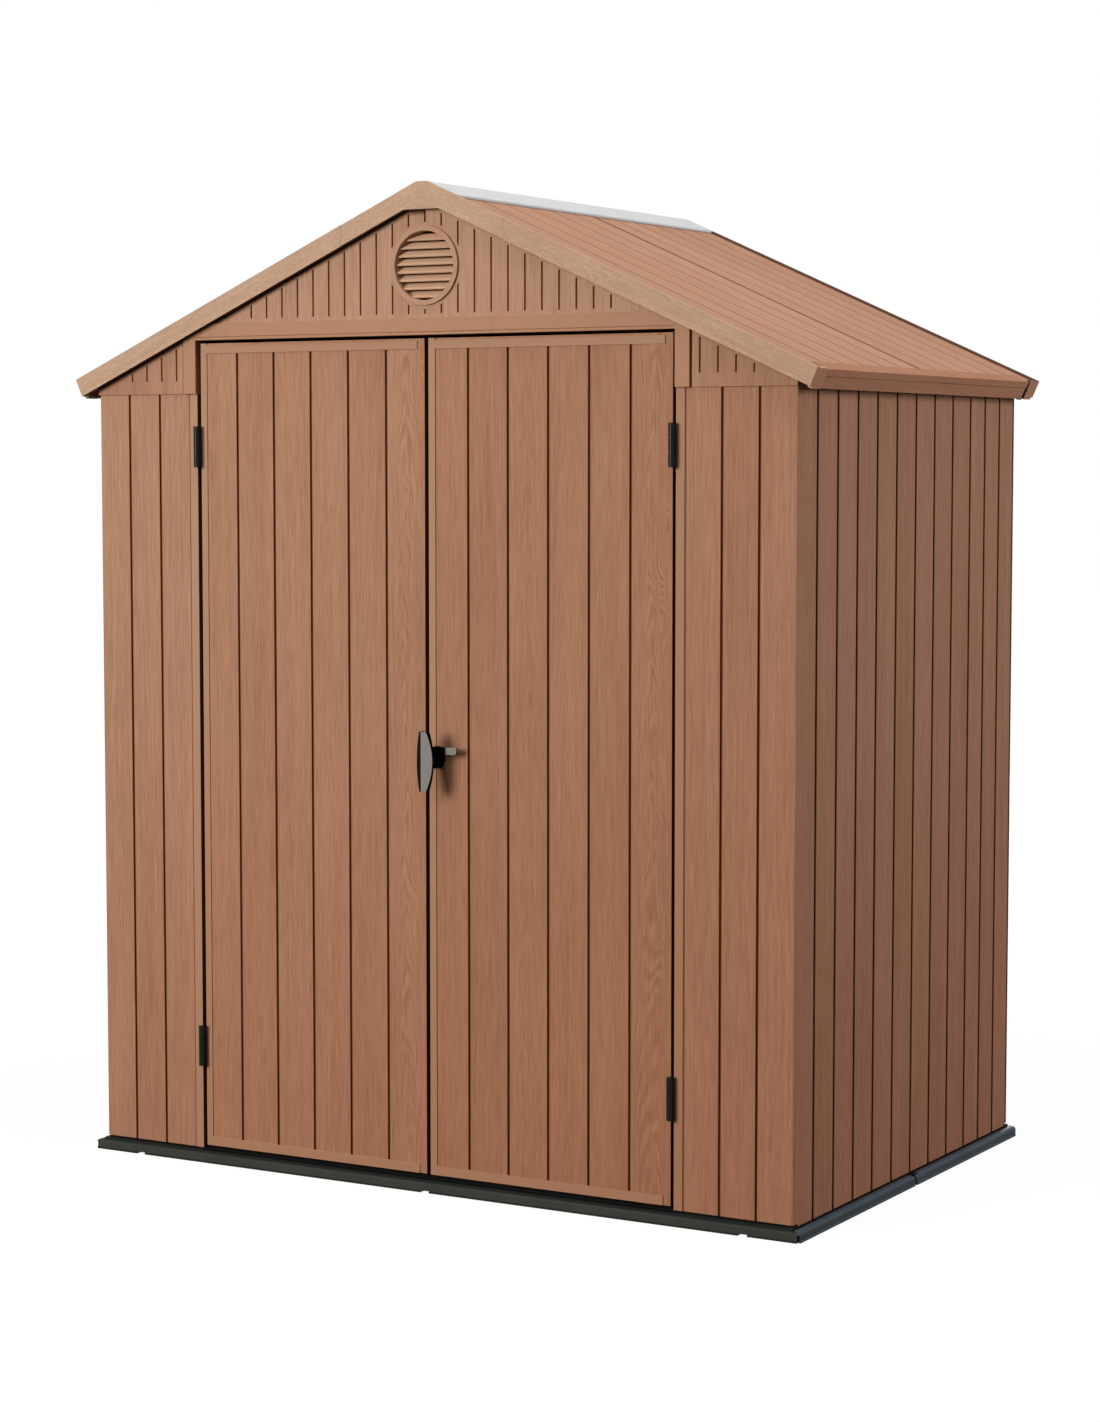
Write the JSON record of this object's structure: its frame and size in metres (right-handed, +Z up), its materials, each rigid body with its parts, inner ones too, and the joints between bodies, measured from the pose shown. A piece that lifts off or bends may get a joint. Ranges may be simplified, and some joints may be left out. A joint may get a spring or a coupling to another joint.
{
  "type": "tool shed",
  "caption": "Resin tool shed with wood-grained board walls, a gabled roof with a ridge skylight, a round louvred vent and double outward-opening doors with a turning handle.",
  "frame": {"origin": "on the ground under the middle of the walls' rectangle", "axes": "+Z up, +X to the right seen from the doors, +Y from the doors to the back"},
  "size_m": [1.898, 1.2815, 2.2245],
  "materials": {
    "wall_resin": "brown wood-grained resin boards, satin matt",
    "door_resin": "brown wood-grained resin boards, satin matt",
    "gable_resin": "lighter brown wood-grained resin, satin matt",
    "roof_resin": "brown fine-ribbed resin roof, satin matt",
    "trim_resin": "plain brown resin trim, satin matt",
    "base_resin": "dark grey moulded resin, satin matt",
    "black_plastic": "black moulded plastic, satin",
    "skylight_sheet": "translucent milky sheet, satin",
    "truss_steel": "galvanised steel tube, dull grey"
  },
  "bodies": {
    "shed": {"floor_front": "base_resin", "floor_rear": "base_resin", "front_left_corner": "wall_resin", "front_right_corner": "wall_resin", "rear_left_corner": "wall_resin", "rear_right_corner": "wall_resin", "left_wall": "wall_resin", "right_wall": "wall_resin", "rear_wall_left": "wall_resin", "rear_wall_right": "wall_resin", "front_gable_left": "gable_resin", "front_gable_centre": "gable_resin", "front_gable_right": "gable_resin", "rear_gable_left": "gable_resin", "rear_gable_right": "gable_resin", "header_left": "trim_resin", "header_right": "trim_resin", "vent_louvre": "trim_resin", "roof_left_front": "roof_resin", "roof_left_rear": "roof_resin", "roof_right_front": "roof_resin", "roof_right_rear": "roof_resin", "skylight": "skylight_sheet", "roof_truss": "truss_steel", "front_barge_left": "trim_resin", "front_barge_right": "trim_resin", "front_ridge_end": "trim_resin", "rear_barge_left": "trim_resin", "rear_barge_right": "trim_resin", "rear_ridge_end": "trim_resin", "eave_fascia_left": "trim_resin", "eave_fascia_right": "trim_resin", "eave_clips": "black_plastic", "hinge_jamb_left": "black_plastic", "hinge_jamb_right": "black_plastic"},
    "left_door": {"door_left": "door_resin", "hinge_leaf_left": "black_plastic"},
    "right_door": {"door_right": "door_resin", "hinge_leaf_right": "black_plastic", "handle_rose": "black_plastic"},
    "handle": {"handle_grip": "black_plastic", "handle_spindle": "black_plastic"}
  },
  "joints": [
    {"name": "left_door_hinge", "type": "hinge", "parent": "shed", "child": "left_door", "pos_m": [-0.611, -0.6045, 0.96], "axis": [0, 0, -1], "range_deg": [0, 110]},
    {"name": "right_door_hinge", "type": "hinge", "parent": "shed", "child": "right_door", "pos_m": [0.611, -0.6045, 0.96], "axis": [0, 0, 1], "range_deg": [0, 110]},
    {"name": "handle_turn", "type": "hinge", "parent": "right_door", "child": "handle", "pos_m": [0.027, -0.645, 0.9665], "axis": [0, 1, 0], "range_deg": [0, 90]}
  ]
}
